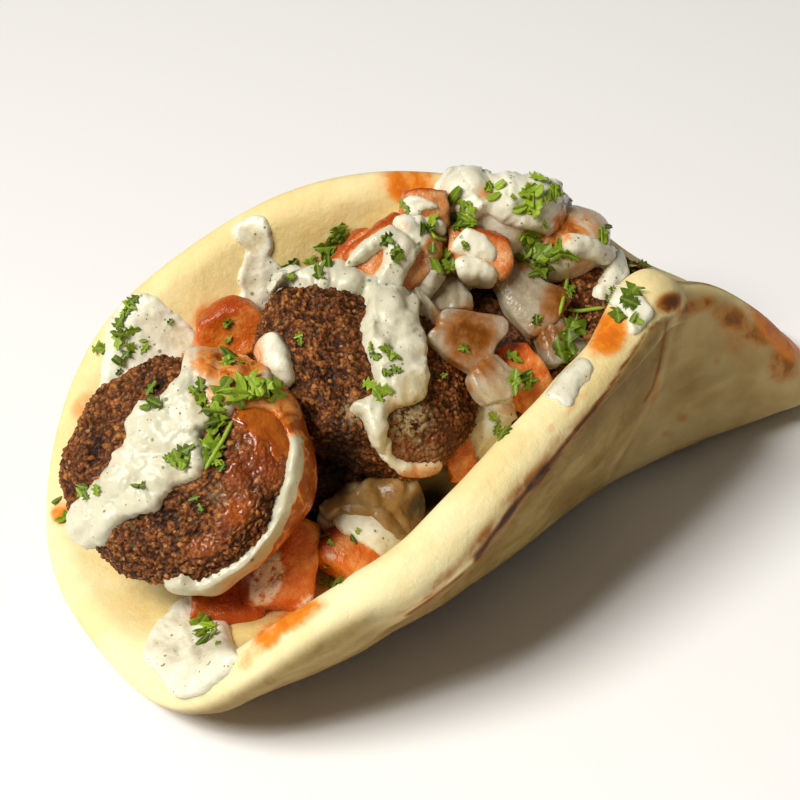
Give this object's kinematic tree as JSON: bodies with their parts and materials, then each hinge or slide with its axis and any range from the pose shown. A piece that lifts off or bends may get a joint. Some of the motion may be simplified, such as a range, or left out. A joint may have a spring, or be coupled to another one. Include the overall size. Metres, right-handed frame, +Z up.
{
  "type": "falafel pita",
  "caption": "Soft flatbread folded round falafel patties with diced tomato, onion, herb sauce and parsley, lying on its fold with the filling open to the top.",
  "frame": {"origin": "on the surface it lies on, under the middle of the flat strip along the fold", "axes": "+X along the fold from the open end to the tail, +Y from the front wall to the back wall, +Z up out of the fold"},
  "size_m": [0.1677, 0.1087, 0.0622],
  "materials": {
    "bread": "soft matte flatbread crumb with toasted spots",
    "falafel": "craggy fried crust",
    "tomato": "wet cut flesh",
    "onion": "wet and slightly translucent",
    "sauce": "thick and glossy with herb specks",
    "chilli_sauce": "thin glossy stain",
    "parsley": "fresh chopped leaf"
  },
  "bodies": {
    "root": {"pita_bread": "bread", "falafel_front": "falafel", "falafel_middle": "falafel", "falafel_under": "falafel", "falafel_inner": "falafel", "falafel_tail": "falafel", "tomato_by_back_wall": "tomato", "tomato_top": "tomato", "tomato_under_drape": "tomato", "tomato_skin_strip": "tomato", "tomato_saucy": "tomato", "tomato_by_front_falafel": "tomato", "tomato_by_front_rim": "tomato", "tomato_in_pool": "tomato", "tomato_inner": "tomato", "tomato_deep": "tomato", "onion_by_drape": "onion", "onion_fan": "onion", "onion_point": "onion", "onion_large": "onion", "onion_by_rim": "onion", "onion_strip": "onion", "onion_back": "onion", "sauce_pool_open_end": "sauce", "sauce_smear_back_left": "sauce", "sauce_smear_back": "sauce", "sauce_heap_back": "sauce", "sauce_in_gap": "sauce", "sauce_front_dribble": "sauce"}
  },
  "joints": []
}
